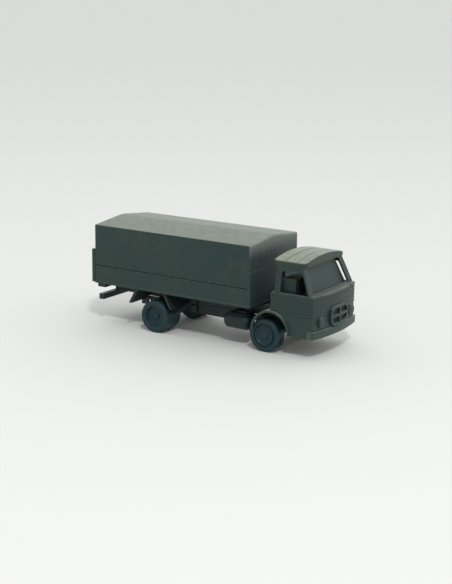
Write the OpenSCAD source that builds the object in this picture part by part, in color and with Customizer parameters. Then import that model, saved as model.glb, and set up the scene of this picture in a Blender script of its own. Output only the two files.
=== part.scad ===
// Small plastic model of a two-axle covered military lorry.
// +X points to the front, +Y to the left side and +Z up.
// The origin is on the ground, under the middle of the overall box.

/* [Cargo body] */
// Length of the cargo body between its headboard and its tailboard
body_l = 57.8; // [48:0.1:70]
// Width of the cargo floor, which is the widest piece
body_w = 28.4; // [24:0.1:34]
// Height of the floor's underside above the ground
floor_z = 12.9; // [11.5:0.1:16]
// Thickness of the cargo floor
floor_t = 0.7; // [0.5:0.05:1.5]
// Height of the side boards
board_h = 10.2; // [7:0.1:14]
// Thickness of the side boards, headboard and tailboard
board_t = 1.1; // [0.8:0.05:2]
// Number of bays along each side board
bays = 8; // [4:1:12]
// Width of an upright post between two bays
post_w = 0.7; // [0.4:0.05:1.5]
// How far a post stands out of its board
post_out = 0.15; // [0.1:0.05:0.4]
// Height of the groove between the upper and the lower plank
groove_h = 0.35; // [0.2:0.05:0.8]
// Depth of that groove
groove_d = 0.2; // [0.1:0.05:0.4]

/* [Tilt] */
// Height of the tilt from the top of the boards to its eaves
tilt_h = 7.9; // [4:0.1:14]
// Rise of the tilt's roof from the eaves to the ridge
ridge_rise = 1.5; // [0.5:0.1:4]
// Thickness of the tilt's walls and roof
tilt_t = 0.8; // [0.5:0.05:1.5]
// Radius of the tilt's upright corners
tilt_r = 0.5; // [0.3:0.05:3]

/* [Cab] */
// Free space between the cargo body and the cab
cab_gap = 6.7; // [5:0.1:12]
// Length of the cab from its rear edge to its front corners
cab_l = 13.8; // [12.5:0.1:18]
// How far the front of the cab bows out past its corners
nose_bow = 1.5; // [0.5:0.05:2]
// Width of the cab
cab_w = 26.5; // [24:0.1:32]
// Height of the cab's lower edge above the ground
cab_z = 6.5; // [5.5:0.1:8]
// Height of the belt line above the ground
belt_z = 19; // [17.5:0.1:22]
// Height from the belt line to the underside of the roof
window_band = 8.1; // [6:0.1:11]
// How far the windscreen leans back over that height
screen_lean = 3.3; // [2:0.1:4.5]
// How far each side leans in over that height
side_lean = 1.5; // [0.5:0.05:2.2]
// Thickness of the cab's walls
cab_t = 0.8; // [0.6:0.05:1.4]
// Radius of the cab's front corners in plan
cab_r = 3; // [1.5:0.1:4]
// Height of the roof at its side edges
roof_edge = 1.1; // [0.6:0.05:2]
// How far the middle of the roof rises over its side edges
roof_dome = 1.4; // [0.4:0.05:2]
// How far the roof's visor reaches past the top of the windscreen
visor_out = 1; // [0.3:0.05:1.5]
// Pitch of the pressed ribs below the belt line
rib_pitch = 0.84; // [0.7:0.02:1]
// Number of pressed ribs under the belt's own lip
rib_n = 6; // [2:1:6]

/* [Wheels and axles] */
// Distance from the front axle forward to the cab's rear edge
axle_to_cab = 2.5; // [1.5:0.1:4]
// Distance from the rear of the tailboard to the rear axle
rear_overhang = 24.3; // [20:0.1:28]
// Diameter of every wheel
wheel_d = 10.1; // [8.5:0.1:11.2]
// Width of a front wheel
front_wheel_w = 3.8; // [2.5:0.1:5]
// Width of a pair of twin rear wheels
twin_w = 7.4; // [6:0.1:8]
// Width over the outer faces of the front wheels
front_track = 25; // [24:0.1:27]
// Width over the outer faces of the rear wheels
rear_track = 27.8; // [26.5:0.1:30]
// Diameter of both axles
axle_d = 1.2; // [1:0.05:1.6]
// Running clearance around an axle, on the radius
axle_fit = 0.05; // [0.02:0.01:0.1]

/* [Chassis] */
// Width over the outer faces of the two frame rails
frame_w = 10.4; // [9.6:0.1:11]
// Width of one rail
rail_w = 1.4; // [1:0.1:2]
// Depth of a rail
rail_h = 3.2; // [2.4:0.1:3.4]
// Height of the cargo floor's cross sills
sill_h = 0.6; // [0.4:0.05:1.2]
// Height and thickness of the rear beam
beam_s = 1.8; // [1.4:0.1:2.6]
// Diameter of the fuel tank
tank_d = 5; // [4:0.1:5.4]
// Length of the fuel tank
tank_l = 9; // [7:0.1:10]
// Distance from the front end of the fuel tank to the headboard
tank_back = 1.9; // [1:0.1:4]

/* [Hidden] */
$fn = 64;

olive = "#6f7a6c";
dark_olive = "#4c5650";
wheel_blue = "#3a4650";
mesh_grey = "#2b3236";
steel = "#b4b6b8";

// Where the grille frame stands out of the nose is also the front of the whole model.
grille_out = 0.9;
overall_l = board_t + 0.2 + body_l + cab_gap + cab_l + nose_bow + grille_out;
tail_gap = 0.2;
rear_x = -overall_l / 2;
bed_x0 = rear_x + board_t + tail_gap;
bed_x1 = bed_x0 + body_l;
cab_x0 = bed_x1 + cab_gap;
cab_x1 = cab_x0 + cab_l;
nose_x = cab_x1 + nose_bow;
rear_axle_x = rear_x + rear_overhang;
front_axle_x = cab_x0 - axle_to_cab;
axle_z = wheel_d / 2;

// Heights of the cargo body, each from the one below it
rail_top = floor_z - sill_h;
rail_z = rail_top - rail_h;
floor_top = floor_z + floor_t;
board_top = floor_top + board_h;
eave_z = board_top + tilt_h;
board_inset = 0.15;
board_y = body_w / 2 - board_inset;

// Heights of the cab
roof_z = belt_z + window_band;

// The wheel arch of the cab lies a little ahead of the wheel.
arch_ahead = 2.5;
arch_up = 1.7;
arch_gap = 0.85;
arch_t = 0.65;
arch_x = front_axle_x + arch_ahead;
arch_z = axle_z + arch_up;
arch_r = axle_z + arch_gap;
lip_out = 0.55;
wheel_room = 0.45;

// A cylinder along Y, in the middle of the model's width
module across(r, l) {
    rotate([90, 0, 0]) cylinder(r = r, h = l, center = true);
}

// An outline drawn in X and Z, made solid from y0 to y1
module side_plate(y0, y1) {
    translate([0, y1, 0]) rotate([90, 0, 0]) linear_extrude(y1 - y0) children();
}

module box(x0, x1, y0, y1, z0, z1) {
    translate([x0, y0, z0]) cube([x1 - x0, y1 - y0, z1 - z0]);
}

// A plate outline with rounded corners, centred on its origin
module rounded(w, h, r) {
    square([w, h - 2 * r], center = true);
    square([w - 2 * r, h], center = true);
    for (sx = [-1, 1], sy = [-1, 1])
        translate([sx * (w / 2 - r), sy * (h / 2 - r)]) circle(r = r);
}

// ---- Frame ----

rail_setback = 1.2;
rail_nose_gap = 2;
rail_x0 = bed_x0 + rail_setback;
rail_x1 = cab_x1 - rail_nose_gap;
rail_y = frame_w / 2;
member_w = 1.6;
member_n = 5;

module frame_rail(side) {
    y0 = side > 0 ? rail_y - rail_w : -rail_y;
    color(dark_olive) box(rail_x0, rail_x1, y0, y0 + rail_w, rail_z, rail_top);
}

module left_frame_rail() { frame_rail(1); }
module right_frame_rail() { frame_rail(-1); }

module frame_cross_members() {
    step = (rail_x1 - rail_x0 - member_w) / (member_n - 1);
    inner_y = rail_y - rail_w;
    color(dark_olive) for (i = [0 : member_n - 1])
        box(rail_x0 + i * step, rail_x0 + i * step + member_w, -inner_y, inner_y, rail_z, rail_top);
}

// A carrier hangs from both rails and holds one axle in a bored tube.
carrier_top_l = 9;
carrier_tube_r = 1.7;

module axle_carrier(x) {
    color(dark_olive) difference() {
        union() {
            for (s = [-1, 1])
                side_plate(s > 0 ? rail_y - rail_w : -rail_y, s > 0 ? rail_y : rail_w - rail_y)
                    polygon([[x - carrier_top_l / 2, rail_z], [x + carrier_top_l / 2, rail_z],
                             [x + carrier_tube_r, axle_z], [x - carrier_tube_r, axle_z]]);
            translate([x, 0, axle_z]) across(carrier_tube_r, 2 * rail_y);
        }
        translate([x, 0, axle_z]) across(axle_d / 2 + axle_fit, 3 * rail_y);
    }
}

module front_axle_carrier() { axle_carrier(front_axle_x); }
module rear_axle_carrier() { axle_carrier(rear_axle_x); }

// The deep block between the axles, under the rails
transfer_ahead = 8;
transfer_l = 15;
transfer_z = 6;

module transfer_block() {
    x0 = rear_axle_x + transfer_ahead;
    color(dark_olive) box(x0, x0 + transfer_l, -rail_y, rail_y, transfer_z, rail_z);
}

// ---- Axles and wheels ----

hub_cover = 1;

module axle(x, track) {
    color(steel) translate([x, 0, axle_z]) across(axle_d / 2, track - 2 * hub_cover);
}

module front_axle() { axle(front_axle_x, front_track); }
module rear_axle() { axle(rear_axle_x, rear_track); }

tyre_round = 0.6;
rim_r = 2.7;
hub_r = 0.9;
twin_gap = 0.6;
twin_groove_r = 3.4;

// Points of a quarter round shoulder, as [radius, place across the wheel]
function shoulder(r, y, out) =
    [for (i = [0 : 4]) let(a = 90 * i / 4)
        out ? [r - tyre_round * (1 - sin(90 - a)), y - tyre_round * (1 - sin(a))]
            : [r - tyre_round * (1 - sin(a)), y + tyre_round * (1 - sin(90 - a))]];

// Half outline of a wheel of width w: the face's ring stands out by ring, and the dish sinks in.
function wheel_outline(w, ring, dish, groove) = concat(
    [[0, w - hub_cover], [axle_d / 2, w - hub_cover], [axle_d / 2, 0.4], [rim_r - 0.5, 0.4], [rim_r, 0]],
    shoulder(wheel_d / 2, 0, false),
    groove ? [[wheel_d / 2 - 0.3, w / 2 - twin_gap / 2], [twin_groove_r, w / 2 - twin_gap / 2],
              [twin_groove_r, w / 2 + twin_gap / 2], [wheel_d / 2 - 0.3, w / 2 + twin_gap / 2]] : [],
    shoulder(wheel_d / 2, w, true),
    [[rim_r + 0.4, w - 0.1], [rim_r, w + ring], [rim_r - 0.35, w + ring], [rim_r - 0.6, w - dish],
     [hub_r + 0.1, w - dish], [hub_r, w - dish + 0.35], [0, w - dish + 0.35]]);

module wheel(x, side, track, w, ring, dish, groove) {
    color(wheel_blue) translate([x, side * (track / 2 - w), axle_z]) rotate([-side * 90, 0, 0])
        rotate_extrude($fn = 96) polygon(wheel_outline(w, ring, dish, groove));
}

front_ring = 0.2;
front_dish = 0.2;
rear_ring = 0.05;
rear_dish = 0.6;

module front_left_wheel() { wheel(front_axle_x, 1, front_track, front_wheel_w, front_ring, front_dish, false); }
module front_right_wheel() { wheel(front_axle_x, -1, front_track, front_wheel_w, front_ring, front_dish, false); }
module rear_left_twin_wheel() { wheel(rear_axle_x, 1, rear_track, twin_w, rear_ring, rear_dish, true); }
module rear_right_twin_wheel() { wheel(rear_axle_x, -1, rear_track, twin_w, rear_ring, rear_dish, true); }

// ---- Cargo body ----

sill_l = 1.6;
sill_end = 3;
sill_n = 6;
sill_out = 0.6;
rear_sill_l = 3;
rear_sill_h = 1.2;
rear_sill_inset = 0.4;

// Short sills lie on the rails. The rear one spans the floor and is deeper outside the rails.
module floor_sills() {
    step = (body_l - 2 * sill_end - sill_l) / (sill_n - 1);
    y0 = rail_y + sill_out;
    y1 = board_y - rear_sill_inset;
    x_rear = bed_x0 + 0.7;
    color(dark_olive) {
        for (i = [1 : sill_n - 1])
            translate([bed_x0 + sill_end + i * step, 0, 0]) box(0, sill_l, -y0, y0, rail_top, floor_z);
        box(x_rear, x_rear + rear_sill_l, -y1, y1, rail_top, floor_z);
        for (y = [-y1, y0])
            box(x_rear, x_rear + rear_sill_l, y, y + y1 - y0, floor_z - rear_sill_h, rail_top);
    }
}

module cargo_floor() {
    color(olive) box(bed_x0, bed_x1, -body_w / 2, body_w / 2, floor_z, floor_top);
}

// A board along one side, with its groove cut and its posts standing out
module side_board(side) {
    groove_z = floor_top + board_h / 2 - groove_h / 2;
    bay_l = body_l / bays;
    color(olive) mirror([0, side > 0 ? 0 : 1, 0]) {
        difference() {
            box(bed_x0, bed_x1 - board_t, board_y - board_t, board_y, floor_top, board_top);
            box(bed_x0 - 1, bed_x1 + 1, board_y - groove_d, board_y + 1, groove_z, groove_z + groove_h);
        }
        for (i = [1 : bays - 1])
            box(bed_x0 + i * bay_l - post_w / 2, bed_x0 + i * bay_l + post_w / 2,
                board_y - board_t, board_y + post_out, floor_top, board_top);
    }
}

module left_side_board() { side_board(1); }
module right_side_board() { side_board(-1); }

module headboard() {
    color(olive) box(bed_x1 - board_t, bed_x1, -board_y, board_y, floor_top, board_top);
}

// The tailboard stands behind the floor, a little wider than the boards.
module tailboard() {
    groove_z = floor_top + board_h / 2 - groove_h / 2;
    pin_r = 0.4;
    pin_in = 0.6;
    pin_root = 0.01;
    color(olive) {
        difference() {
            box(rear_x, rear_x + board_t, -board_y, board_y, floor_z + tail_gap, board_top);
            box(rear_x - 1, rear_x + groove_d, -board_y - 1, board_y + 1, groove_z, groove_z + groove_h);
        }
        for (s = [-1, 1], z = [floor_top, board_top - 1])
            translate([rear_x + board_t - pin_root, s * (board_y - pin_in), z]) rotate([0, 90, 0])
                cylinder(r = pin_r, h = tail_gap + pin_root);
    }
}

// Outline across the tilt, w wide, from z0 up to its gable
module gable(w, z0, eave, ridge) {
    polygon([[-w / 2, z0], [w / 2, z0], [w / 2, eave], [0, ridge], [-w / 2, eave]]);
}

module tilt_shape(x0, x1, w, z0, drop, r) {
    intersection() {
        translate([x0, 0, 0]) rotate([90, 0, 90]) linear_extrude(x1 - x0)
            gable(w, z0, eave_z - drop, eave_z + ridge_rise - drop);
        translate([(x0 + x1) / 2, 0, 0]) linear_extrude(eave_z + ridge_rise + 1) rounded(x1 - x0, w, r);
    }
}

module tilt_cover() {
    color(olive) difference() {
        tilt_shape(bed_x0, bed_x1, 2 * board_y, board_top, 0, tilt_r);
        tilt_shape(bed_x0 + tilt_t, bed_x1 - tilt_t, 2 * (board_y - tilt_t), board_top - 1, tilt_t,
                   max(0.1, tilt_r - tilt_t));
    }
}

// A square beam hangs across the rear ends of the rails.
beam_back = 1;
beam_inset = 1.6;

module rear_beam() {
    x0 = rail_x0 - beam_back;
    y = board_y - beam_inset;
    color(dark_olive) box(x0, x0 + beam_s, -y, y, rail_z - beam_s, rail_z);
}

// Two slanted flaps hang from the floor, behind and ahead of the twin wheels.
module rear_mudguards(side) {
    side_gap = 0.1;
    y0 = rear_track / 2 - twin_w - side_gap;
    y1 = board_y - side_gap;
    behind = 6.2;
    ahead = 3.2;
    slant = 2.6;
    flap_z = 8.2;
    behind_t = 1.1;
    ahead_t = 0.8;
    color(dark_olive) mirror([0, side > 0 ? 0 : 1, 0]) translate([rear_axle_x, 0, 0]) side_plate(y0, y1) {
        polygon([[-behind, floor_z], [-behind - behind_t, floor_z],
                 [-behind - slant - behind_t, flap_z], [-behind - slant, flap_z]]);
        polygon([[ahead, floor_z], [ahead + ahead_t, floor_z],
                 [ahead + slant + ahead_t, flap_z], [ahead + slant, flap_z]]);
    }
}

module left_rear_mudguards() { rear_mudguards(1); }
module right_rear_mudguards() { rear_mudguards(-1); }

// ---- Cab ----

bow_r = (pow(cab_w / 2, 2) + pow(nose_bow, 2)) / (2 * nose_bow);
upper_setback = 1.2;
upper_x0 = cab_x0 + upper_setback;
screen_foot_back = 0.8;
screen_foot_x = cab_x1 - screen_foot_back;
cab_mount_min = 0.6;
cab_floor_z = max(arch_z + arch_r + arch_t + 0.15, rail_top + cab_mount_min);
cab_floor_t = 0.7;

// Plan of the cab, made smaller all round by inset
module cab_plan(inset) {
    back = cab_x0 - 5;
    front = nose_x - inset;
    w = cab_w - 2 * inset;
    intersection() {
        translate([(back + front) / 2, 0]) rounded(front - back, w, cab_r - inset);
        translate([nose_x - bow_r, 0]) circle(r = bow_r - inset, $fn = 256);
    }
}

// The cab as one block, made smaller all round by inset
module cab_block(inset) {
    lean_in = inset * 1.1;
    foot = cab_w / 2 - inset;
    head = foot - side_lean;
    intersection() {
        through_x(cab_x0, nose_x - inset + 1)
            polygon([[-foot, cab_z], [foot, cab_z], [foot, belt_z], [head, roof_z], [-head, roof_z], [-foot, belt_z]]);
        linear_extrude(roof_z + 5) cab_plan(inset);
        side_plate(-cab_w, cab_w)
            polygon([[cab_x0, cab_z], [cab_x0, roof_z], [screen_foot_x - screen_lean - lean_in, roof_z],
                     [screen_foot_x - lean_in, belt_z - max(0, inset)], [nose_x - inset + 1, belt_z - max(0, inset)],
                     [nose_x - inset + 1, cab_z]]);
    }
}

// Prism along X over an outline drawn in Y and Z
module through_x(x0, x1) {
    translate([x0, 0, 0]) rotate([90, 0, 90]) linear_extrude(x1 - x0) children();
}

grille_w = 10.6;
grille_h = 5.9;
grille_z = 11.85;
grille_r = 2.7;
grille_bar = 0.7;
lamp_d = 3.2;
lamp_z = 11.15;
lamp_y = 9.2;
lamp_out = 0.7;

module grille_outline(grow) {
    translate([0, grille_z]) rounded(grille_w + 2 * grow, grille_h + 2 * grow, grille_r + grow);
}

module lamp_outline(side, grow) {
    translate([side * lamp_y, lamp_z]) circle(d = lamp_d + 2 * grow);
}

rib_out = 0.15;
rib_h = 0.5;
belt_lip_h = 0.85;
ribs_top = belt_z - belt_lip_h - (rib_pitch - rib_h);

module ribs() {
    difference() {
        intersection() {
            cab_block(-rib_out);
            union() {
                box(cab_x0, nose_x + 1, -cab_w, cab_w, belt_z - belt_lip_h, belt_z);
                for (i = [0 : rib_n - 1])
                    box(cab_x0, nose_x + 1, -cab_w, cab_w,
                        ribs_top - i * rib_pitch - rib_h, ribs_top - i * rib_pitch);
            }
        }
        through_x(cab_x1 - 3, nose_x + 2) grille_outline(0.4);
        for (s = [-1, 1]) through_x(cab_x1 - 3, nose_x + 2) lamp_outline(s, 0.3);
    }
}

// Window openings: the door's rear pillar, the sloping front pillar and the rails above and below
door_pillar_w = 1.7;
door_x0 = upper_x0 + door_pillar_w;
door_front_w = 0.7;
window_z0 = belt_z + 0.05;
window_z1 = roof_z - 1.7;
screen_z0 = belt_z + 0.2;
screen_z1 = roof_z - 0.3;
pillar_w = 2.2;

module window_cuts() {
    foot = cab_w / 2 - pillar_w;
    head = foot - side_lean;
    front_foot = screen_foot_x - door_front_w;
    front_head = front_foot - screen_lean * (window_z1 - window_z0) / window_band;
    // Door windows, right through both sides
    side_plate(-cab_w, cab_w)
        polygon([[door_x0, window_z0], [door_x0, window_z1], [front_head, window_z1], [front_foot, window_z0]]);
    // Windscreen
    through_x(screen_foot_x - screen_lean - 2, nose_x + 3)
        polygon([[-foot, screen_z0], [foot, screen_z0], [head, screen_z1], [-head, screen_z1]]);
}

module cab_shell() {
    color(olive) difference() {
        union() {
            cab_block(0);
            ribs();
        }
        cab_block(cab_t);
        // The hollow runs on down, up and out at the rear.
        translate([0, 0, -cab_t - 1]) intersection() {
            linear_extrude(belt_z) cab_plan(cab_t);
            box(cab_x0 - 5, nose_x, -cab_w, cab_w, 0, belt_z - 2);
        }
        box(cab_x0 - 1, cab_x0 + 1, -cab_w / 2 + cab_t, cab_w / 2 - cab_t, cab_z - 1, belt_z);
        box(cab_x0 - 1, upper_x0, -cab_w, cab_w, belt_z, roof_z + 1);
        window_cuts();
        translate([arch_x, 0, arch_z]) across(arch_r + arch_t, 2 * cab_w);
    }
}

rear_window_w = 17.5;
rear_window_h = 4.4;

module cab_rear_wall() {
    w = cab_w - 2 * cab_t;
    color(olive) difference() {
        intersection() {
            through_x(cab_x0, upper_x0 + 2)
                polygon([[-w / 2, cab_floor_z], [w / 2, cab_floor_z], [w / 2, belt_z],
                         [w / 2 - side_lean, roof_z], [side_lean - w / 2, roof_z], [-w / 2, belt_z]]);
            side_plate(-w / 2, w / 2)
            polygon([[cab_x0, cab_floor_z], [cab_x0 + cab_t, cab_floor_z], [cab_x0 + cab_t, belt_z - cab_t],
                     [upper_x0 + cab_t, belt_z - cab_t], [upper_x0 + cab_t, roof_z], [upper_x0, roof_z],
                     [upper_x0, belt_z], [cab_x0, belt_z]]);
        }
        through_x(upper_x0 - 1, upper_x0 + 2) translate([0, (window_z0 + window_z1) / 2])
            rounded(rear_window_w, rear_window_h, 0.8);
    }
}

// The roof reaches out behind the cab and, as a visor, ahead of the windscreen.
roof_back = 0.5;
roof_r = 1.5;

module cab_roof() {
    x0 = cab_x0 - roof_back;
    x1 = screen_foot_x - screen_lean + visor_out;
    w = cab_w - 2 * side_lean + 0.2;
    dome_r = (pow(w / 2, 2) + pow(roof_dome, 2)) / (2 * roof_dome);
    top = roof_z + roof_edge + roof_dome;
    color(olive) intersection() {
        translate([(x0 + x1) / 2, 0, roof_z]) linear_extrude(roof_edge + roof_dome) rounded(x1 - x0, w, roof_r);
        through_x(x0, x1) translate([0, top - dome_r]) circle(r = dome_r, $fn = 256);
    }
}

floor_nose_gap = 1.2;

module cab_floor() {
    x0 = cab_x0 + cab_t;
    color(dark_olive) translate([0, 0, cab_floor_z]) linear_extrude(cab_floor_t) intersection() {
        cab_plan(cab_t + 0.05);
        translate([x0, -cab_w]) square([cab_x1 - floor_nose_gap - x0, 2 * cab_w]);
    }
}

cab_mount_setback = 2.5;

module cab_mount() {
    color(dark_olive) box(cab_x0 + cab_mount_setback, rail_x1, -rail_y, rail_y, rail_top, cab_floor_z);
}

// One block makes the seat backs, with a lower step for the cushions.
seat_back_l = 5.3;
seat_back_h = 8.8;
seat_cushion_l = 2;
seat_cushion_h = 4;

module cab_seat_block() {
    z0 = cab_floor_z + cab_floor_t;
    x0 = upper_x0 + cab_t;
    w = cab_w - 2 * cab_t - 2;
    color(dark_olive) {
        box(x0, x0 + seat_back_l, -w / 2, w / 2, z0, z0 + seat_back_h);
        box(x0, x0 + seat_back_l + seat_cushion_l, -w / 2, w / 2, z0, z0 + seat_cushion_h);
    }
}

// An inner panel stands behind the windscreen and leans with it. It narrows to its top.
panel_back = 0.95;
panel_t = 0.6;
panel_foot_w = 22.4;
panel_head_w = 17.4;

module windscreen_panel() {
    z0 = cab_floor_z + cab_floor_t;
    bend_z = belt_z - cab_t;
    foot = screen_foot_x - panel_back - panel_t;
    head = foot - screen_lean;
    color(dark_olive) intersection() {
        side_plate(-panel_foot_w / 2, panel_foot_w / 2)
            polygon([[foot, z0], [foot + panel_t, z0], [foot + panel_t, bend_z],
                     [head + panel_t, roof_z], [head, roof_z], [foot, bend_z]]);
        through_x(head - 1, foot + 2)
            polygon([[-panel_foot_w / 2, z0], [panel_foot_w / 2, z0], [panel_foot_w / 2, belt_z],
                     [panel_head_w / 2, roof_z], [-panel_head_w / 2, roof_z], [-panel_foot_w / 2, belt_z]]);
    }
}

// ---- Front ----

// A piece that lies on the nose and stands out by out
module on_nose(out) {
    difference() {
        intersection() {
            cab_block(-out);
            children();
        }
        cab_block(0);
    }
}

module grille_frame() {
    color(olive) on_nose(grille_out) through_x(cab_x1 - 1, nose_x + 2) {
        difference() {
            grille_outline(0);
            grille_outline(-grille_bar);
        }
        translate([0, grille_z]) square([grille_w - 0.4, grille_bar], center = true);
        translate([0, grille_z]) square([grille_bar, grille_h - 0.4], center = true);
    }
}

mesh_out = 0.3;

module grille_mesh() {
    cell_w = (grille_w - 3 * grille_bar) / 2;
    cell_h = (grille_h - 3 * grille_bar) / 2;
    color(mesh_grey) on_nose(mesh_out) through_x(cab_x1 - 1, nose_x + 2) difference() {
        grille_outline(-grille_bar);
        translate([0, grille_z]) square([grille_w, grille_bar], center = true);
        translate([0, grille_z]) square([grille_bar, grille_h], center = true);
    }
}

module headlamp(side) {
    color(olive) on_nose(lamp_out) through_x(cab_x1 - 3, nose_x + 2) lamp_outline(side, 0);
}

module left_headlamp() { headlamp(1); }
module right_headlamp() { headlamp(-1); }

bumper_out = 0.6;
bumper_h = 2.2;

module front_bumper() {
    color(olive) on_nose(bumper_out)
        box(cab_x1 - 1.6, nose_x + 2, -cab_w / 2, cab_w / 2, cab_z, cab_z + bumper_h);
}

// The band over a front wheel, with a lip that stands out past the cab's side
module front_mudguard(side) {
    y0 = rail_y + 2.2;
    lip_y = cab_w / 2 + lip_out;
    color(olive) mirror([0, side > 0 ? 0 : 1, 0]) difference() {
        translate([arch_x, 0, arch_z]) rotate([-90, 0, 0]) translate([0, 0, y0]) difference() {
            cylinder(r = arch_r + arch_t, h = lip_y - y0, $fn = 96);
            translate([0, 0, -1]) cylinder(r = arch_r, h = lip_y - y0 + 2, $fn = 96);
        }
        box(arch_x - 20, arch_x + 20, 0, cab_w, -5, cab_z);
        translate([front_axle_x, front_track / 4, axle_z])
            across(wheel_d / 2 + wheel_room, front_track / 2 + 2 * wheel_room);
    }
}

module left_front_mudguard() { front_mudguard(1); }
module right_front_mudguard() { front_mudguard(-1); }

// ---- Under the body ----

tank_y = 9.6;
tank_z = 7.45;
tank_x1 = bed_x1 - tank_back;
tank_x0 = tank_x1 - tank_l;
tank_round = 1.6;
bracket_w = 1.2;
bracket_in = 1.5;

// Half outline of the tank from end to end, with rounded shoulders
function tank_outline() = let(r = tank_d / 2 - tank_round) concat(
    [[0, 0]],
    [for (a = [0 : 15 : 90]) [r + tank_round * sin(a), tank_round * (1 - cos(a))]],
    [for (a = [90 : -15 : 0]) [r + tank_round * sin(a), tank_l - tank_round * (1 - cos(a))]],
    [[0, tank_l]]);

module fuel_tank() {
    color(olive) {
        translate([tank_x0, -tank_y, tank_z]) rotate([0, 90, 0]) rotate_extrude() polygon(tank_outline());
        for (x = [tank_x0 + bracket_in, tank_x1 - bracket_in - bracket_w])
            box(x, x + bracket_w, -tank_y, -rail_y, rail_z + 0.1, tank_z + tank_d / 2 - 0.1);
    }
}

box_low = 2.8;
box_high = 1.4;

module battery_box() {
    y1 = tank_y + tank_d / 2 - 0.5;
    color(dark_olive) box(tank_x0, tank_x1, rail_y, y1, rail_z - box_low, rail_z + box_high);
}

left_frame_rail();
right_frame_rail();
frame_cross_members();
front_axle_carrier();
rear_axle_carrier();
transfer_block();
front_axle();
rear_axle();
front_left_wheel();
front_right_wheel();
rear_left_twin_wheel();
rear_right_twin_wheel();
floor_sills();
cargo_floor();
left_side_board();
right_side_board();
headboard();
tailboard();
tilt_cover();
rear_beam();
left_rear_mudguards();
right_rear_mudguards();
cab_shell();
cab_roof();
cab_rear_wall();
cab_floor();
cab_mount();
cab_seat_block();
windscreen_panel();
left_front_mudguard();
right_front_mudguard();
front_bumper();
grille_frame();
grille_mesh();
left_headlamp();
right_headlamp();
fuel_tank();
battery_box();
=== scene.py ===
# %% [markdown]
# # A small moulded model of a covered military lorry
# The real thing is about eight centimetres long. It is moulded in matt olive plastic, and its dark
# wheels are pressed on steel axles. The frame brings in every hard part at its true size and place.
# This file gives those parts their rounded edges, planks, springs, tyres and finishes.

# %% Load the frame
import bmesh
import bpy
from math import cos, pi, radians, sin
from mathutils import Matrix, Vector


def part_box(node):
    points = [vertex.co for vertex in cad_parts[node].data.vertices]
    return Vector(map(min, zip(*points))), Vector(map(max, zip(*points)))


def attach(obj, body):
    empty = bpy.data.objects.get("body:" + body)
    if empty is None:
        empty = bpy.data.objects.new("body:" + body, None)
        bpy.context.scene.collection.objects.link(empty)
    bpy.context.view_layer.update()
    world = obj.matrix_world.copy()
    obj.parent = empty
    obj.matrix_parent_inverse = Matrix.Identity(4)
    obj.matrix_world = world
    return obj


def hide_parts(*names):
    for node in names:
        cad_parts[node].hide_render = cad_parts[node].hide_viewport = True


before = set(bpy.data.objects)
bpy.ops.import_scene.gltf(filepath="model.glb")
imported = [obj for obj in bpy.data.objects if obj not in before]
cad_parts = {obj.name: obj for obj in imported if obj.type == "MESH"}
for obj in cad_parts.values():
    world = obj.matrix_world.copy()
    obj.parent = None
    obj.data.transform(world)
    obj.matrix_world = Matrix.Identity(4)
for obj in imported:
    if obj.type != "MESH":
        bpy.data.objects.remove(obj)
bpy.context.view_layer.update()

# %% [markdown]
# ## Sizes that come from the frame
# Each part's box says where its neighbours start, so places aren't typed twice. Blender works in
# metres and the model is small, so MM turns a workshop size into metres.

# %% Boxes of the parts
MM = 0.001
scene = bpy.context.scene


def span(node):
    low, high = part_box(node)
    return Vector(low), Vector(high)


tilt_low, tilt_high = span("tilt_cover")
board_low, board_high = span("headboard")
floor_high = span("cargo_floor")[1]
roof_low = span("cab_roof")[0]
shell_low = span("cab_shell")[0]
rear_wheel_low, rear_wheel_high = span("rear_right_twin_wheel")
front_wheel_low, front_wheel_high = span("front_right_wheel")
rear_axle_x = (rear_wheel_low.x + rear_wheel_high.x) / 2
front_axle_x = (front_wheel_low.x + front_wheel_high.x) / 2
wheel_r = rear_wheel_high.z / 2
print("axles at", round(rear_axle_x, 5), round(front_axle_x, 5), "wheel radius", round(wheel_r, 5))

# %% [markdown]
# ## The camera
# A hand camera stands in front of the lorry's right side and looks a little down on it. It aims at
# a point above the middle of the chassis, with a long lens, so the lines of the body stay calm.

# %% Camera
view_azimuth = radians(32.54)
view_elevation = radians(13.71)
view_roll = radians(0.84)
view_distance = 388.3 * MM
aim_ahead = 17.51 * MM
aim_height = 12.81 * MM
focal_length = 99.26
aim = Vector((rear_axle_x + aim_ahead, 0, aim_height))
back = Vector((sin(view_azimuth) * cos(view_elevation),
               -cos(view_azimuth) * cos(view_elevation),
               sin(view_elevation)))

lens = bpy.data.cameras.new("camera")
lens.sensor_fit = "HORIZONTAL"
lens.sensor_width = 36
lens.lens = focal_length
lens.clip_start = 0.01
lens.clip_end = 100
camera = bpy.data.objects.new("camera", lens)
scene.collection.objects.link(camera)
camera.matrix_world = (Matrix.Translation(aim + back * view_distance)
                       @ back.to_track_quat("Z", "Y").to_matrix().to_4x4()
                       @ Matrix.Rotation(view_roll, 4, "Z"))
scene.camera = camera
scene.view_settings.view_transform = "Standard"

# %% [markdown]
# ## Floor and light
# The model stands on a plain white table. The room is bright all round, and a small lamp stands high
# in front of the nose on the camera's side. So the roofs are pale, the sides stay dark and the shadow
# falls back to the far side with a firm edge.

# %% Floor and light
table_size = 60
table_white = (0.745, 0.748, 0.715)
room_white = (0.97, 0.985, 1)
room_dimmest = 0.5
room_brightest = 1.3
lamp_place = Vector((0.44, -0.52, 0.80))
lamp_size = 0.13
lamp_power = 3.65

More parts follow.
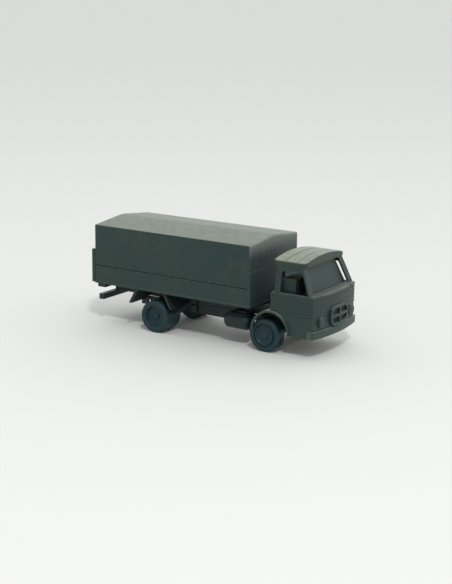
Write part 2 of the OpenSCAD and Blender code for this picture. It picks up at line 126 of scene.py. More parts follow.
bpy.ops.object.select_all(action="DESELECT")
bpy.ops.mesh.primitive_plane_add(size=table_size, location=(0, 0, 0))
table = bpy.context.object
table.name = "table"
table_finish = bpy.data.materials.new("white_table")
table_finish.use_nodes = True
table_shader = table_finish.node_tree.nodes["Principled BSDF"]
table_shader.inputs["Base Color"].default_value = (*table_white, 1)
table_shader.inputs["Roughness"].default_value = 0.85
table_shader.inputs["Specular IOR Level"].default_value = 0.2
table.data.materials.append(table_finish)

room = bpy.data.worlds.new("room")
scene.world = room
room.use_nodes = True
room_tree = room.node_tree
sky = room_tree.nodes["Background"]
sky.inputs["Color"].default_value = (*room_white, 1)
room_place = room_tree.nodes.new("ShaderNodeTexCoord").outputs["Generated"]
toward = room_tree.nodes.new("ShaderNodeVectorMath")
toward.operation = "DOT_PRODUCT"
toward.inputs[1].default_value = (-back.x + 0.35, -back.y, 0.25)
room_tree.links.new(room_place, toward.inputs[0])
brightness = room_tree.nodes.new("ShaderNodeMapRange")
brightness.inputs["From Min"].default_value = -0.8
brightness.inputs["From Max"].default_value = 1.0
brightness.inputs["To Min"].default_value = room_dimmest
brightness.inputs["To Max"].default_value = room_brightest
room_tree.links.new(toward.outputs["Value"], brightness.inputs["Value"])
room_tree.links.new(brightness.outputs["Result"], sky.inputs["Strength"])

lamp_data = bpy.data.lights.new("ceiling_lamp", "AREA")
lamp_data.shape = "DISK"
lamp_data.size = lamp_size
lamp_data.energy = lamp_power
lamp = bpy.data.objects.new("ceiling_lamp", lamp_data)
scene.collection.objects.link(lamp)
lamp_turn = lamp_place.to_track_quat("Z", "Y").to_matrix().to_4x4()
lamp.matrix_world = Matrix.Translation(lamp_place) @ lamp_turn
print("lamp", round(lamp_place.length, 3), "m from the middle of the table")

# %% [markdown]
# ## Moulded plastic
# The whole body is one matt plastic. Up close it has a fine grain and broad patches that lean to olive
# or to blue. Its edges are paler, partly from wear and partly as a painted highlight, its creases get
# painted shade, and what faces up gets a pale film that is partly dust and partly painted light for the
# pale tops. The grain, patches and film come from noise on the object's own coordinates, so a pattern
# keeps its size on every piece.

# %% The moulded finish
def add_node(tree, kind, **settings):
    made = tree.nodes.new(kind)
    for key, value in settings.items():
        setattr(made, key, value)
    return made


def noise(tree, place, scale, detail=3.0):
    made = add_node(tree, "ShaderNodeTexNoise")
    made.inputs["Scale"].default_value = scale
    made.inputs["Detail"].default_value = detail
    tree.links.new(place, made.inputs["Vector"])
    return made.outputs["Fac"]


def ramp(tree, value, low, high):
    made = add_node(tree, "ShaderNodeMapRange", interpolation_type="SMOOTHSTEP")
    made.inputs["From Min"].default_value = low
    made.inputs["From Max"].default_value = high
    tree.links.new(value, made.inputs["Value"])
    return made.outputs["Result"]


def maths(tree, operation, first, second):
    made = add_node(tree, "ShaderNodeMath", operation=operation)
    for socket, value in zip(made.inputs, (first, second)):
        if isinstance(value, (int, float)):
            socket.default_value = value
        else:
            tree.links.new(value, socket)
    return made.outputs[0]


def scaled(tree, value, factor, offset):
    result = maths(tree, "MULTIPLY_ADD", value, factor)
    result.node.inputs[2].default_value = offset
    return result


def split_axes(tree, vector):
    made = add_node(tree, "ShaderNodeSeparateXYZ")
    tree.links.new(vector, made.inputs[0])
    return made.outputs


def blend_colour(tree, share, first, second):
    made = add_node(tree, "ShaderNodeMix", data_type="RGBA")
    for socket, value in ((made.inputs[0], share), (made.inputs[6], first), (made.inputs[7], second)):
        if isinstance(value, tuple):
            socket.default_value = (*value, 1)
        elif isinstance(value, float):
            socket.default_value = value
        else:
            tree.links.new(value, socket)
    return made.outputs[2]


def hidden_share(tree, reach, inside):
    made = add_node(tree, "ShaderNodeAmbientOcclusion", samples=6, inside=inside, only_local=True)
    made.inputs["Distance"].default_value = reach
    return maths(tree, "SUBTRACT", 1.0, made.outputs["AO"])


# Pale film on upward faces: partly dust, partly painted light for the pale tops.
dust_and_top_light_colour = (0.52, 0.57, 0.43)
# Reach of the paler edges: partly wear, partly a painted highlight on the ridges.
wear_and_highlight_reach = 0.35 * MM
# Reach of the painted shade in creases and hollows.
painted_shade_reach = 0.5 * MM
grain_depth = 0.03 * MM


def moulded(name, base, patch, rough, dust_and_top_light=0.25, sheen=0.2, extra=None):
    finish = bpy.data.materials.new(name)
    finish.use_nodes = True
    tree = finish.node_tree
    shader = tree.nodes["Principled BSDF"]
    place = add_node(tree, "ShaderNodeTexCoord").outputs["Object"]
    surface = add_node(tree, "ShaderNodeNewGeometry")
    broad = ramp(tree, noise(tree, place, 130, 2.0), 0.38, 0.64)
    mottle = ramp(tree, noise(tree, place, 900, 4.0), 0.3, 0.75)
    colour = blend_colour(tree, broad, base, patch)
    deep = tuple(0.72 * c for c in base)
    colour = blend_colour(tree, maths(tree, "MULTIPLY", mottle, 0.45), colour, deep)
    if extra:
        colour = extra(tree, place, colour)
    # Convex edges are painted paler: partly wear, partly a painted highlight.
    worn_and_highlight = tuple(2.2 * c + 0.02 for c in base)
    edge = ramp(tree, hidden_share(tree, wear_and_highlight_reach, True), 0.30, 0.62)
    colour = blend_colour(tree, maths(tree, "MULTIPLY", edge, 0.55), colour, worn_and_highlight)
    # Painted shade: creases and hollows are painted darker where light can't reach.
    shade = tuple(0.3 * c for c in base)
    crevice_painted_shade = ramp(tree, hidden_share(tree, painted_shade_reach, False), 0.12, 0.6)
    colour = blend_colour(tree, maths(tree, "MULTIPLY", crevice_painted_shade, 0.8), colour, shade)
    # Faces that look up get the pale film: partly dust, partly painted light that stands in for the
    # bright reflection on the tops.
    upward = ramp(tree, split_axes(tree, surface.outputs["Normal"])["Z"], 0.55, 0.98)
    dust_and_top_light_film = maths(tree, "MULTIPLY", ramp(tree, noise(tree, place, 420, 5.0), -0.6, 0.9), dust_and_top_light)
    colour = blend_colour(tree, maths(tree, "MULTIPLY", upward, dust_and_top_light_film), colour, dust_and_top_light_colour)
    tree.links.new(colour, shader.inputs["Base Color"])
    uneven = scaled(tree, noise(tree, place, 1500, 3.0), 0.16, rough - 0.08)
    tree.links.new(uneven, shader.inputs["Roughness"])
    bump = add_node(tree, "ShaderNodeBump")
    bump.inputs["Strength"].default_value = 0.35
    bump.inputs["Distance"].default_value = grain_depth
    tree.links.new(noise(tree, place, 5200, 2.0), bump.inputs["Height"])
    tree.links.new(bump.outputs["Normal"], shader.inputs["Normal"])
    shader.inputs["Specular IOR Level"].default_value = 0.36
    shader.inputs["Sheen Weight"].default_value = sheen
    shader.inputs["Sheen Roughness"].default_value = 0.45
    return finish


olive = moulded("olive_plastic", (0.014, 0.037, 0.035), (0.020, 0.041, 0.033), 0.5, sheen=0.03)
# A darker copy of the body's olive for the chassis, springs, mudguards and the cab's inside: painted
# shade for parts under the body and in the cab.
shaded_olive = moulded("chassis_plastic", (0.009, 0.024, 0.023), (0.015, 0.027, 0.020), 0.5,
                     dust_and_top_light=0.12, sheen=0.02)
wheel_blue = moulded("wheel_plastic", (0.004, 0.029, 0.039), (0.006, 0.031, 0.037), 0.45,
                     dust_and_top_light=0.03, sheen=0.0)
print("finishes", [m.name for m in bpy.data.materials])

# %% [markdown]
# ## Working by hand
# Every piece starts as a primitive and is shaped in edit mode. These helpers do what a hand does:
# clear the selection, place a block, pick faces by where they lie, slice, cut and round edges.

# %% Helpers for modelling
def only(piece):
    bpy.ops.object.select_all(action="DESELECT")
    piece.select_set(True)
    bpy.context.view_layer.objects.active = piece


def settle(piece, name):
    piece.name = name
    only(piece)
    bpy.ops.object.transform_apply(location=True, rotation=True, scale=True)
    return piece


def block(name, low, high):
    bpy.ops.object.select_all(action="DESELECT")
    low, high = Vector(low), Vector(high)
    bpy.ops.mesh.primitive_cube_add(size=1, location=(low + high) / 2)
    bpy.context.object.scale = high - low
    return settle(bpy.context.object, name)


def round_bar(name, centre, axis, radius, length, sides=64):
    bpy.ops.object.select_all(action="DESELECT")
    bpy.ops.mesh.primitive_cylinder_add(vertices=sides, radius=radius, depth=length, location=centre)
    turns = {"X": (0, pi / 2, 0), "Y": (pi / 2, 0, 0), "Z": (0, 0, 0)}
    bpy.context.object.rotation_euler = turns[axis]
    return settle(bpy.context.object, name)


def pick(piece, kind, test):
    only(piece)
    bpy.ops.object.mode_set(mode="EDIT")
    bpy.ops.mesh.select_mode(type=kind)
    bpy.ops.mesh.select_all(action="DESELECT")
    mesh = bmesh.from_edit_mesh(piece.data)
    chosen = [e for e in {"VERT": mesh.verts, "EDGE": mesh.edges, "FACE": mesh.faces}[kind] if test(e)]
    for element in chosen:
        element.select_set(True)
    mesh.select_flush_mode()
    bmesh.update_edit_mesh(piece.data)
    return len(chosen)


def done():
    bpy.ops.object.mode_set(mode="OBJECT")


def middle(element):
    points = [v.co for v in element.verts]
    return sum(points, Vector()) / len(points)


def slice_at(piece, axis, places):
    normal = [0, 0, 0]
    normal[axis] = 1
    for place in places:
        pick(piece, "VERT", lambda v: True)
        bpy.ops.mesh.bisect(plane_co=[place * n for n in normal], plane_no=normal)
        done()


def push(piece, test, move):
    pick(piece, "FACE", test)
    bpy.ops.mesh.extrude_region_move(TRANSFORM_OT_translate={"value": move})
    done()


def round_edges(piece, test, radius, steps):
    count = pick(piece, "EDGE", test)
    bpy.ops.mesh.bevel(offset=radius, segments=steps, affect="EDGES")
    done()
    return count


def apply(piece, kind, **settings):
    only(piece)
    modifier = piece.modifiers.new(kind.lower(), kind)
    for key, value in settings.items():
        setattr(modifier, key, value)
    bpy.ops.object.modifier_apply(modifier=modifier.name)


def cut_away(piece, other):
    apply(piece, "BOOLEAN", operation="DIFFERENCE", object=other, solver="EXACT")
    bpy.data.objects.remove(other)


def shade(piece):
    only(piece)
    bpy.ops.object.shade_smooth_by_angle(angle=radians(42))
    apply(piece, "WEIGHTED_NORMAL", keep_sharp=True)


def soften(piece, width=0.12 * MM, steps=2, angle=38):
    apply(piece, "BEVEL", width=width, segments=steps, limit_method="ANGLE",
          angle_limit=radians(angle))
    shade(piece)


def tidy_mesh(piece):
    pick(piece, "VERT", lambda v: True)
    bpy.ops.mesh.remove_doubles(threshold=0.0005 * MM)
    bpy.ops.mesh.dissolve_limited(angle_limit=radians(0.5))
    done()


def loose_copy(node):
    piece = bpy.data.objects.new(node + "_moulding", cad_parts[node].data.copy())
    scene.collection.objects.link(piece)
    tidy_mesh(piece)
    return piece


def join(name, pieces):
    bpy.ops.object.select_all(action="DESELECT")
    for p in pieces:
        p.select_set(True)
    bpy.context.view_layer.objects.active = pieces[0]
    bpy.ops.object.join()
    pieces[0].name = name
    return pieces[0]


def hand_over(piece, finish, *nodes, body="truck", slot="body_plastic"):
    piece.data.materials.clear()
    piece.data.materials.append(finish)
    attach(piece, body)
    if nodes:
        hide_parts(*nodes)
    print(piece.name, len(piece.data.polygons), "faces")
    return piece


def along(edge, axis):
    run = edge.verts[1].co - edge.verts[0].co
    return abs(run[axis]) > 0.99 * run.length


def near(value, target, slack=0.02 * MM):
    return abs(value - target) < slack

# %% [markdown]
# ## Plain moulded parts
# Frame rails, sills, flaps and boxes are flat-sided in the frame, and their shape is right. What
# they lack is the soft edge that every moulding has. A copy of each is merged, its flat faces are
# joined up, and a narrow bevel rounds its edges.

# %% Soft-edged copies of the plain parts
def moulded_copy(node, finish, slot, width=0.12 * MM):
    piece = loose_copy(node)
    soften(piece, width)
    return hand_over(piece, finish, node, slot=slot)


# These parts take the darker olive: painted shade under the body.
for node in ("left_frame_rail", "right_frame_rail", "frame_cross_members", "transfer_block",
             "floor_sills", "rear_beam", "left_rear_mudguards", "right_rear_mudguards",
             "front_axle_carrier", "rear_axle_carrier", "cab_floor", "cab_mount", "battery_box"):
    moulded_copy(node, shaded_olive, "chassis_plastic")
for node in ("cargo_floor", "headboard", "cab_rear_wall"):
    moulded_copy(node, olive, "body_plastic", 0.1 * MM)
# The seat takes the darker olive too: painted shade inside the cab.
moulded_copy("cab_seat_block", shaded_olive, "chassis_plastic", 0.3 * MM)

# %% [markdown]
# ## Leaf springs
# Beside each frame rail, over both axles, hangs a pack of leaves between two hangers. The leaves get
# shorter towards the axle. Each pack is stacked from blocks, joined and softened.

# %% Leaf springs
rail_low, rail_high = span("right_frame_rail")
leaf_t = 0.6 * MM
leaf_half = (10.5 * MM, 8.4 * MM, 7.1 * MM, 5.4 * MM)
spring_w = 0.9 * MM
spring_gap = 0.05 * MM
hanger_top = 1.2 * MM
hanger_h = 2.8 * MM
hanger_half = 1.2 * MM


def spring_pack(name, axle_x, side):
    inner = side * (max(abs(rail_low.y), abs(rail_high.y)) + spring_gap)
    y0, y1 = sorted((inner, inner + side * spring_w))
    parts = []
    for i, half in enumerate(leaf_half):
        top = rail_low.z - i * leaf_t
        parts.append(block("leaf", (axle_x - half, y0, top - leaf_t), (axle_x + half, y1, top)))
    for end in (-1, 1):
        x = axle_x + end * (leaf_half[0] - hanger_half)
        parts.append(block("hanger", (x - hanger_half, y0, rail_low.z - hanger_h),
                           (x + hanger_half, y1, rail_low.z + hanger_top)))
    pack = join(name, parts)
    soften(pack, 0.1 * MM, 2)
    # The springs take the darker olive: painted shade under the body.
    hand_over(pack, shaded_olive, slot="chassis_plastic")


for label, x in (("front", front_axle_x), ("rear", rear_axle_x)):
    for side, word in ((1, "left"), (-1, "right")):
        spring_pack(label + "_" + word + "_leaf_springs", x, side)

# %% [markdown]
# ## The tilt
# On the real lorry a canvas cover stretches over hoops. On the model it is a hard moulded lid with
# a low gable. A block is sliced along its ridge, the ridge is lifted, and the edges are rounded by
# hand: wide at the front, where the roof rolls over, and tight along the eaves and at the back.

# %% Tilt
ridge_rise = 1.5 * MM
eave_z = tilt_high.z - ridge_rise
tilt_wall = 0.8 * MM
front_round = 0.75 * MM
eave_round = 0.35 * MM
ridge_round = 1.6 * MM
back_round = 0.18 * MM
foot_round = 0.2 * MM

tilt = block("tilt", tilt_low, (tilt_high.x, tilt_high.y, eave_z))
slice_at(tilt, 1, [0])
pick(tilt, "VERT", lambda v: near(v.co.z, eave_z) and near(v.co.y, 0))
bpy.ops.transform.translate(value=(0, 0, ridge_rise))
done()
round_edges(tilt, lambda e: near(middle(e).x, tilt_high.x) and middle(e).z > tilt_low.z + 0.1 * MM
            and abs(middle(e).y) > 0.1 * MM, front_round, 5)
round_edges(tilt, lambda e: along(e, 0) and near(middle(e).z, eave_z, 0.1 * MM)
            and (e.verts[0].co - e.verts[1].co).length > 20 * MM, eave_round, 4)
round_edges(tilt, lambda e: along(e, 0) and near(middle(e).y, 0), ridge_round, 4)
round_edges(tilt, lambda e: near(middle(e).x, tilt_low.x) and middle(e).z > tilt_low.z + 0.1 * MM
            and e.calc_face_angle(0) > 0.6, back_round, 2)
round_edges(tilt, lambda e: near(middle(e).z, tilt_low.z) and e.calc_face_angle(0) > 1,
            foot_round, 2)
pick(tilt, "FACE", lambda f: f.normal.z < -0.9)
bpy.ops.mesh.delete(type="FACE")
done()
pick(tilt, "VERT", lambda v: True)
bpy.ops.mesh.normals_make_consistent(inside=False)
done()
apply(tilt, "SOLIDIFY", thickness=tilt_wall, offset=-1)
shade(tilt)


# Marks on the tilt, with painted light: painted shade along its foot, a painted highlight on top of the
# front wall, and dark streaks low on the front wall, partly streaks and partly painted shade.
def tilt_marks_and_painted_light(tree, place, colour):
    stretch = add_node(tree, "ShaderNodeMapping")
    stretch.inputs["Scale"].default_value = (1, 1, 0.06)
    tree.links.new(place, stretch.inputs["Vector"])
    streak = ramp(tree, noise(tree, stretch.outputs[0], 900, 4.0), 0.42, 0.72)
    axes = split_axes(tree, place)
    # Painted shade: a dark line along the foot, where the tilt meets the side boards.
    seam_painted_shade = ramp(tree, axes["Z"], tilt_low.z + 0.45 * MM, tilt_low.z + 0.1 * MM)
    colour = blend_colour(tree, maths(tree, "MULTIPLY", seam_painted_shade, 0.7), colour, (0.006, 0.014, 0.014))
    # Painted highlight: the top of the front wall, where the roof rolls over, is painted pale.
    front = ramp(tree, axes["X"], tilt_high.x - 0.9 * MM, tilt_high.x - 0.05 * MM)
    high = ramp(tree, axes["Z"], eave_z - 5 * MM, eave_z + 1 * MM)
    share = maths(tree, "MULTIPLY", maths(tree, "MULTIPLY", front, high), 0.42)
    colour = blend_colour(tree, share, colour, (0.30, 0.32, 0.28))
    # Darker streaks towards the bottom of the front wall, above the cab: partly streaks, partly painted
    # shade from the cab.
    low = ramp(tree, axes["Z"], eave_z - 0.5 * MM, eave_z - 4.5 * MM)
    low_front_streaks_and_shade = maths(tree, "MULTIPLY", maths(tree, "MULTIPLY", front, streak), low)
    return blend_colour(tree, maths(tree, "MULTIPLY", low_front_streaks_and_shade, 0.7), colour, (0.012, 0.018, 0.017))


tilt_olive = moulded("tilt_plastic", (0.012, 0.035, 0.035), (0.022, 0.042, 0.032), 0.48, dust_and_top_light=0.31,
                     sheen=0.05, extra=tilt_marks_and_painted_light)
hand_over(tilt, tilt_olive, "tilt_cover")

# %% [markdown]
# ## Side boards
# Each side is one moulding that stands for two planks and a row of posts. A block is sliced at
# every post and at the gap between the planks. The posts are pushed out and the gap is pushed in.

# %% Side boards
bays = 8
post_w = 0.7 * MM
post_out = 0.02 * MM
gap_h = 0.4 * MM
gap_d = 0.4 * MM
board_y = board_high.y
gap_z = (floor_high.z + board_high.z) / 2
bay_l = (tilt_high.x - tilt_low.x) / bays
posts = [tilt_low.x + i * bay_l for i in range(1, bays)]


def is_post(x):
    return any(abs(x - p) < post_w / 2 for p in posts)


def side_board(name, side):
    low, high = span(name)
    flat = side * board_y
    inner = low.y if side > 0 else high.y
    piece = block(name + "_planks", (low.x, min(inner, flat), low.z), (high.x, max(inner, flat), high.z))
    round_edges(piece, lambda e: along(e, 0) and near(middle(e).z, high.z)
                and near(middle(e).y, flat), 0.22 * MM, 3)
    slice_at(piece, 0, [p + s * post_w / 2 for p in posts for s in (-1, 1)])
    slice_at(piece, 2, [gap_z - gap_h / 2, gap_z + gap_h / 2])
    push(piece, lambda f: near(middle(f).y, flat) and is_post(middle(f).x),
         (0, side * post_out, 0))
    push(piece, lambda f: near(middle(f).y, flat) and abs(f.normal.y) > 0.9
         and not is_post(middle(f).x) and near(middle(f).z, gap_z), (0, -side * gap_d, 0))
    soften(piece, 0.04 * MM, 2)
    return hand_over(piece, olive, name)


side_board("left_side_board", 1)
side_board("right_side_board", -1)

# %% [markdown]
# ## Tailboard
# The tailboard has the same two planks. Its panels are set in between four posts, so that nothing
# stands out behind the model. Four pins keep it just clear of the body.

# %% Tailboard
tail_low, tail_high = span("tailboard")
tail_t = board_high.x - board_low.x
pin_r = 0.4 * MM
pin_in = 0.6 * MM
panel_in = 0.15 * MM
tail_w = tail_high.y - tail_low.y
tail_posts = [tail_low.y + tail_w * share for share in (0.02, 0.34, 0.66, 0.98)]


def on_tail_post(y):
    return any(abs(y - p) < post_w / 2 for p in tail_posts)


tailboard = block("tailboard_planks", tail_low, (tail_low.x + tail_t, tail_high.y, tail_high.z))
slice_at(tailboard, 1, [p + s * post_w / 2 for p in tail_posts for s in (-1, 1)])
slice_at(tailboard, 2, [gap_z - gap_h / 2, gap_z + gap_h / 2])
push(tailboard, lambda f: f.normal.x < -0.9 and not on_tail_post(middle(f).y)
     and abs(middle(f).y) < abs(tail_posts[0]), (panel_in, 0, 0))
push(tailboard, lambda f: f.normal.x < -0.9 and near(middle(f).z, gap_z)
     and near(middle(f).x, tail_low.x + panel_in), (gap_d, 0, 0))
soften(tailboard, 0.09 * MM, 2)
pins = []
for side in (-1, 1):
    for z in (floor_high.z, tail_high.z - 1 * MM):
        centre = Vector((tail_low.x + tail_t + 0.05 * MM, side * (board_y - pin_in), z))
        pin = round_bar("pin", centre, "X", pin_r, 0.3 * MM, 24)
        soften(pin, 0.04 * MM, 1)
        pins.append(pin)
hand_over(join("tailboard_planks", [tailboard] + pins), olive, "tailboard")

# %% [markdown]
# ## The cab's shell
# The hard part gives the bowed front, the leaning window band and the pressed ribs. By hand the
# window corners are rounded first, then every other edge a little. The door's rear line is a thin
# dark mark in the finish.

# %% Cab shell
roof_z = roof_low.z
belt_z = roof_z - 8.1 * MM


def runs(edge, axis, longest, shortest):
    length = (edge.verts[1].co - edge.verts[0].co).length
    return along(edge, axis) and shortest < length < longest


def in_band(point):
    return belt_z - 0.1 * MM < point.z < roof_z - 0.1 * MM


def corner_edge(edge, axis):
    through_wall = runs(edge, axis, 3 * MM, 0.5 * MM)
    return through_wall and in_band(middle(edge)) and edge.calc_face_angle(0) > 0.5


shell = loose_copy("cab_shell")
side_corner_r = 0.55 * MM
screen_corner_r = 0.8 * MM
nose_starts = tilt_high.x + 8 * MM
side_corners = round_edges(shell, lambda e: corner_edge(e, 1), side_corner_r, 4)
screen_corners = round_edges(shell, lambda e: corner_edge(e, 0) and middle(e).x > nose_starts,
                             screen_corner_r, 4)
print("window corners", side_corners, screen_corners)
soften(shell, 0.14 * MM, 3, 30)


def door_line(tree, place, colour):
    axes = split_axes(tree, place)
    door_x = shell_low.x + 1.75 * MM
    off = maths(tree, "ABSOLUTE", maths(tree, "SUBTRACT", axes["X"], door_x), 0.0)
    thin = ramp(tree, off, 0.09 * MM, 0.04 * MM)
    tall = ramp(tree, axes["Z"], belt_z - 6.6 * MM, belt_z - 6.3 * MM)
    low = ramp(tree, axes["Z"], belt_z + 6.3 * MM, belt_z + 6 * MM)
    tall_thin = maths(tree, "MULTIPLY", thin, tall)
    share = maths(tree, "MULTIPLY", tall_thin, maths(tree, "MULTIPLY", low, 0.75))
    return blend_colour(tree, share, colour, (0.010, 0.014, 0.013))


cab_olive = moulded("cab_plastic", (0.015, 0.037, 0.035), (0.022, 0.042, 0.033), 0.48, dust_and_top_light=0.22,
                    sheen=0.04, extra=door_line)
hand_over(shell, cab_olive, "cab_shell")

# %% [markdown]
# ## The cab's roof
# The roof is a thick lid with a domed top. Its rim is rounded by hand, and two shallow grooves are
# pressed across it.

# %% Cab roof
roof = loose_copy("cab_roof")
round_edges(roof, lambda e: e.calc_face_angle(0) > 0.6 and middle(e).z > roof_low.z + 0.3 * MM,
            0.5 * MM, 4)
roof_grooves = ((roof_low.x + 4.1 * MM, 0.3 * MM), (roof_low.x + 8 * MM, 0.2 * MM))
for groove_x, wide in roof_grooves:
    slice_at(roof, 0, [groove_x - wide / 2, groove_x + wide / 2])
    push(roof, lambda f: abs(middle(f).x - groove_x) < wide / 2 and f.normal.z > 0.6,
         (0, 0, -0.1 * MM))
soften(roof, 0.12 * MM, 2, 50)
# The roof has the heaviest film: partly dust, partly painted light for its pale top.
roof_olive = moulded("roof_plastic", (0.018, 0.038, 0.032), (0.028, 0.045, 0.030), 0.5,
                     dust_and_top_light=0.42, sheen=0.08)
hand_over(roof, roof_olive, "cab_roof")

# %% [markdown]
# ## Screen, bumper, arches and grille
# These follow the bowed front, so they keep the hard part's curve and gain rounded edges. The grille
# is a ring with a cross. A dark mesh lies behind it, and its holes are a fine relief.

# %% Front pieces
screen_finish = moulded("screen_plastic", (0.008, 0.029, 0.023), (0.009, 0.030, 0.029), 0.42,
                        dust_and_top_light=0.05, sheen=0.02)
mesh_finish = moulded("mesh_plastic", (0.002, 0.006, 0.008), (0.003, 0.007, 0.009), 0.55,
                      dust_and_top_light=0, sheen=0)


def add_mesh_relief(finish):
    tree = finish.node_tree
    place = add_node(tree, "ShaderNodeTexCoord").outputs["Object"]
    waves = []
    for direction in ("Y", "Z"):
        wave = add_node(tree, "ShaderNodeTexWave", wave_type="BANDS", bands_direction=direction)
        wave.inputs["Scale"].default_value = 550
        tree.links.new(place, wave.inputs["Vector"])
        waves.append(wave.outputs["Fac"])
    bump = add_node(tree, "ShaderNodeBump")
    bump.inputs["Strength"].default_value = 0.9
    bump.inputs["Distance"].default_value = 0.15 * MM
    tree.links.new(maths(tree, "MAXIMUM", *waves), bump.inputs["Height"])
    shader = tree.nodes["Principled BSDF"]
    tree.links.new(bump.outputs["Normal"], shader.inputs["Normal"])


add_mesh_relief(mesh_finish)
moulded_copy("windscreen_panel", screen_finish, "chassis_plastic", 0.2 * MM)
# A lighter copy of the body's olive for the bumper: painted light on the front, with a heavier film that
# is partly dust and partly painted top light.
lit_bumper_olive = moulded("bumper_plastic_painted_light", (0.022, 0.046, 0.041), (0.032, 0.054, 0.040), 0.5,
                       dust_and_top_light=0.4, sheen=0.05)
moulded_copy("front_bumper", lit_bumper_olive, "body_plastic", 0.4 * MM)
moulded_copy("grille_frame", cab_olive, "body_plastic", 0.2 * MM)
moulded_copy("grille_mesh", mesh_finish, "mesh_plastic", 0.05 * MM)

# %% [markdown]
# ## Front wheel arches
# The band over each front wheel is closed on its inner side, as a real wheel housing is, so no light
# comes through from the far side. The wall is a disc cut off level with the cab's lower edge.

# %% Front wheel arches
arch_r = 6.55 * MM
arch_wall = 0.4 * MM
arch_olive = moulded("arch_plastic", (0.022, 0.046, 0.039), (0.038, 0.058, 0.043), 0.5,
                     dust_and_top_light=0.5, sheen=0.05)


def front_arch(name):
    low, high = span(name)
    side = 1 if low.y > 0 else -1
    band = loose_copy(name)
    soften(band, 0.16 * MM, 2)
    inner_y = (low.y if side > 0 else high.y) + side * arch_wall / 2
    centre = Vector((high.x - arch_r, inner_y, high.z - arch_r))
    wall = round_bar("arch_wall", centre, "Y", arch_r - 0.3 * MM, arch_wall)
    below_low = centre - Vector((9, 1, 9)) * MM
    below_high = (centre.x + 9 * MM, inner_y + MM, shell_low.z)
    cut_away(wall, block("below", below_low, below_high))
    soften(wall, 0.08 * MM, 2)
    hand_over(join(name + "_housing", [band, wall]), arch_olive, name)


front_arch("left_front_mudguard")
front_arch("right_front_mudguard")

# %% [markdown]
# ## Headlamps
# A lamp is a short round bar in the cab's front. Its end is inset to make a rim, and the lens inside
# the rim swells a little.

# %% Headlamps
def headlamp(name):
    low, high = span(name)
    centre = (low + high) / 2
    radius = (high.z - low.z) / 2
    shy = 0.3 * MM
    length = high.x - low.x - shy
    lamp = round_bar(name + "_lens", centre - Vector((shy / 2, 0, 0)), "X", radius, length, 48)
    pick(lamp, "FACE", lambda f: f.normal.x > 0.9)
    bpy.ops.mesh.inset(thickness=0.22 * MM, depth=0)
    bpy.ops.mesh.inset(thickness=0.12 * MM, depth=-0.16 * MM)
    bpy.ops.mesh.inset(thickness=0.35 * MM, depth=0.16 * MM)
    bpy.ops.mesh.inset(thickness=0.45 * MM, depth=0.08 * MM)
    done()
    soften(lamp, 0.3 * MM, 4, 30)
    hand_over(lamp, cab_olive, name)


headlamp("left_headlamp")
headlamp("right_headlamp")

# %% [markdown]
# ## Fuel tank
# The tank is a lying drum with softened ends. Two straps hold it up and a drain plug hangs under it.

# %% Fuel tank
tank_low, tank_high = span("fuel_tank")
tank_r = (tank_high.z - tank_low.z) / 2
tank_y = tank_high.y - tank_r if tank_high.y < 0 else tank_low.y + tank_r
tank_z = (tank_low.z + tank_high.z) / 2
tank = loose_copy("fuel_tank")
soften(tank, 0.3 * MM, 3, 30)
straps = []
for share in (0.26, 0.74):
    x = tank_low.x + (tank_high.x - tank_low.x) * share
    strap = round_bar("strap", Vector((x, tank_y, tank_z)), "X", tank_r + 0.08 * MM, 0.55 * MM)
    soften(strap, 0.06 * MM, 2)
    straps.append(strap)
drain_place = Vector((tank_high.x - 1.4 * MM, tank_y, tank_low.z))
drain = round_bar("drain", drain_place, "Z", 0.5 * MM, 1.1 * MM, 24)
soften(drain, 0.08 * MM, 2)
# The tank is the body's olive painted much darker: painted shade, as it hangs in the shadow under the
# body.
shaded_tank_olive = moulded("tank_plastic_painted_shade", (0.006, 0.019, 0.021), (0.008, 0.022, 0.021), 0.45,
                     dust_and_top_light=0.08, sheen=0.0)
hand_over(join("tank_drum", [tank, drain] + straps), shaded_tank_olive, "fuel_tank")

# %% [markdown]
# ## Wheels
# Tyre and rim are one moulding. A drum is inset step by step on its outer side to make the tyre's
# wall, the rim, the dish and the hub. Its shoulders are rounded. Two fine grooves run round a front
# tyre, and one stands for the gap between the twin tyres.

# %% Wheels
def tread_grooves(wheel, places, wide):
    slice_at(wheel, 1, [p + s * wide / 2 for p in places for s in (-1, 1)])
    pick(wheel, "FACE", lambda f: abs(f.normal.y) < 0.1
         and any(abs(middle(f).y - p) < wide / 2 for p in places))
    bpy.ops.mesh.extrude_region_shrink_fatten(TRANSFORM_OT_shrink_fatten={"value": -0.12 * MM})
    done()


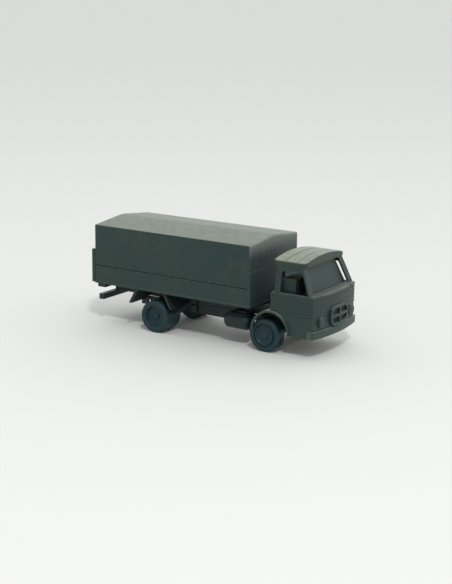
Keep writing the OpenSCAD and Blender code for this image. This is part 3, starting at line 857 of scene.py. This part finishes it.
def moulded_wheel(name, steps, inner_steps, out, grooves, body):
    low, high = span(name)
    side = 1 if low.y > 0 else -1
    low_y, high_y = sorted((abs(low.y), abs(high.y)))
    face_y = high_y - out
    centre = Vector(((low.x + high.x) / 2, side * (low_y + face_y) / 2, (low.z + high.z) / 2))
    wheel = round_bar(name + "_tyre", centre, "Y", wheel_r, face_y - low_y, 96)
    round_edges(wheel, lambda e: abs(middle(e).y) > low_y - 0.1 * MM and not along(e, 1),
                0.45 * MM, 4)
    places = [side * (low_y + (face_y - low_y) * g) for g in grooves]
    tread_grooves(wheel, places, 0.25 * MM)
    for facing, moves in ((side, steps), (-side, inner_steps)):
        pick(wheel, "FACE", lambda f: f.normal.y * facing > 0.99
             and f.calc_area() > 20 * MM * MM)
        for thick, deep in moves:
            bpy.ops.mesh.inset(thickness=thick * MM, depth=deep * MM)
        done()
    soften(wheel, 0.07 * MM, 2, 25)
    hand_over(wheel, wheel_blue, name, body=body, slot="wheel_plastic")


front_steps = ((1.05, 0), (0.1, -0.35), (0.35, 0), (0.12, 0.55), (0.3, 0), (0.25, -0.45), (1.1, -0.12),
               (0.1, 0.3), (0.35, 0.06), (0.08, -0.12))
rear_steps = ((0.85, 0), (0.12, -0.15), (0.3, 0), (0.25, -1.1), (2.1, -0.15), (0.1, 0.6), (0.35, 0.05),
              (0.08, -0.12))
plain_steps = ((1.0, 0), (0.15, -0.4))
for side in ("left", "right"):
    moulded_wheel("front_" + side + "_wheel", front_steps, plain_steps, 0.2 * MM,
                  (0.3, 0.7), "front_wheelset")
    moulded_wheel("rear_" + side + "_twin_wheel", rear_steps, plain_steps, 0.05 * MM,
                  (0.5,), "rear_wheelset")

# %% [markdown]
# ## Axles
# The axles are drawn steel wire. They are seen between the wheels from below, with fine rings
# round them from the drawing.

# %% Axles
steel = bpy.data.materials.new("axle_steel")
steel.use_nodes = True
steel_tree = steel.node_tree
steel_shader = steel_tree.nodes["Principled BSDF"]
steel_shader.inputs["Base Color"].default_value = (0.42, 0.42, 0.43, 1)
steel_shader.inputs["Metallic"].default_value = 1
drawn = add_node(steel_tree, "ShaderNodeMapping")
drawn.inputs["Scale"].default_value = (40, 1, 40)
steel_place = add_node(steel_tree, "ShaderNodeTexCoord").outputs["Object"]
steel_tree.links.new(steel_place, drawn.inputs["Vector"])
steel_rough = ramp(steel_tree, noise(steel_tree, drawn.outputs[0], 600, 3.0), 0.2, 0.8)
steel_tree.links.new(scaled(steel_tree, steel_rough, 0.2, 0.28), steel_shader.inputs["Roughness"])


def steel_axle(name, body):
    low, high = span(name)
    axle = round_bar(name + "_wire", (low + high) / 2, "Y", (high.z - low.z) / 2, high.y - low.y, 48)
    soften(axle, 0.1 * MM, 2)
    hand_over(axle, steel, name, body=body, slot="axle_steel")


steel_axle("front_axle", "front_wheelset")
steel_axle("rear_axle", "rear_wheelset")
